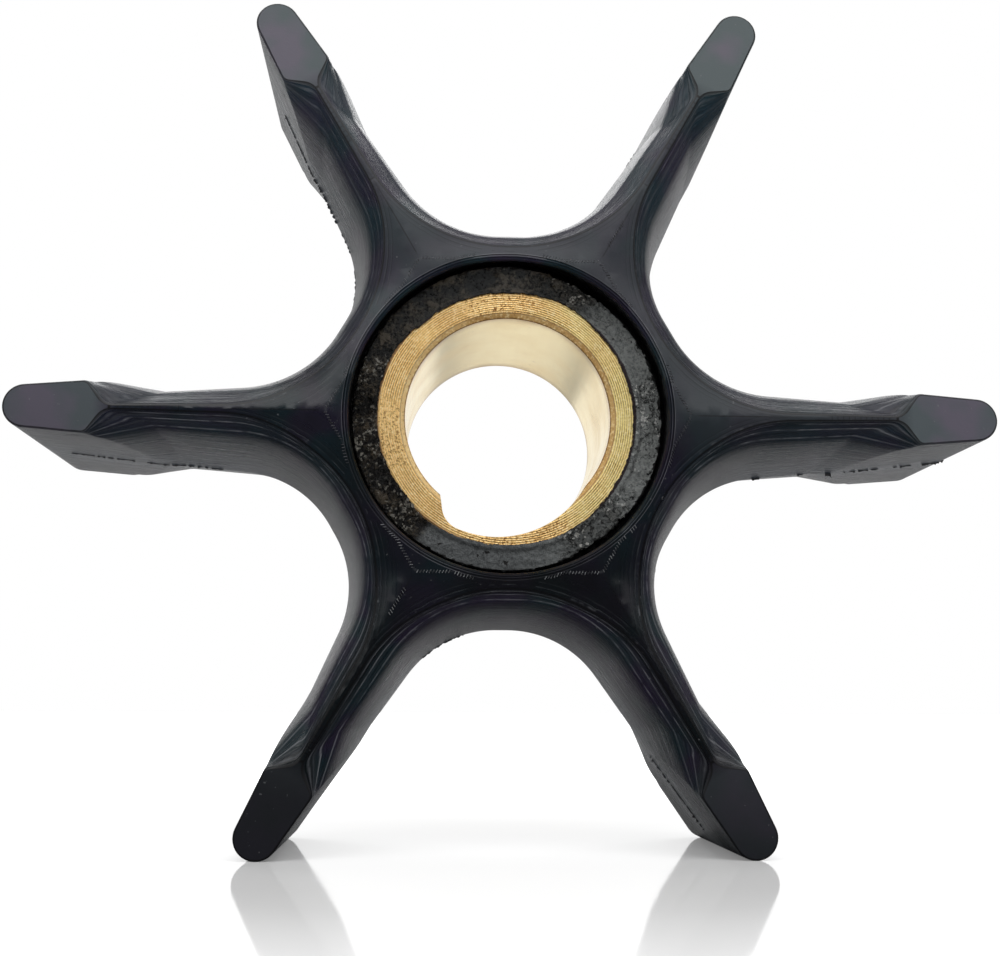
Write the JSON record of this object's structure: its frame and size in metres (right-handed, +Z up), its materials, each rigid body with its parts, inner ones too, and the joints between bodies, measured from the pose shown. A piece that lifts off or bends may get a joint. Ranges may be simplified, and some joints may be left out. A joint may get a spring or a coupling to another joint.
{
  "type": "rubber pump impeller",
  "caption": "Flexible-vane pump impeller: a moulded rubber hub with long bulb-tipped vanes, bonded round a brass bush with a cam recess in its bore.",
  "frame": {"origin": "on the bore axis, half way between the two end faces", "axes": "+Y along the bore axis, +Z up as the impeller stands on the tips of its two lower vanes, +X along a vane"},
  "size_m": [0.08, 0.0202, 0.0698],
  "materials": {
    "rubber": "satin moulded nitrile rubber",
    "brass": "turned, with patina in patches"
  },
  "bodies": {
    "root": {"rubber_body": "rubber", "brass_bush": "brass"}
  },
  "joints": []
}
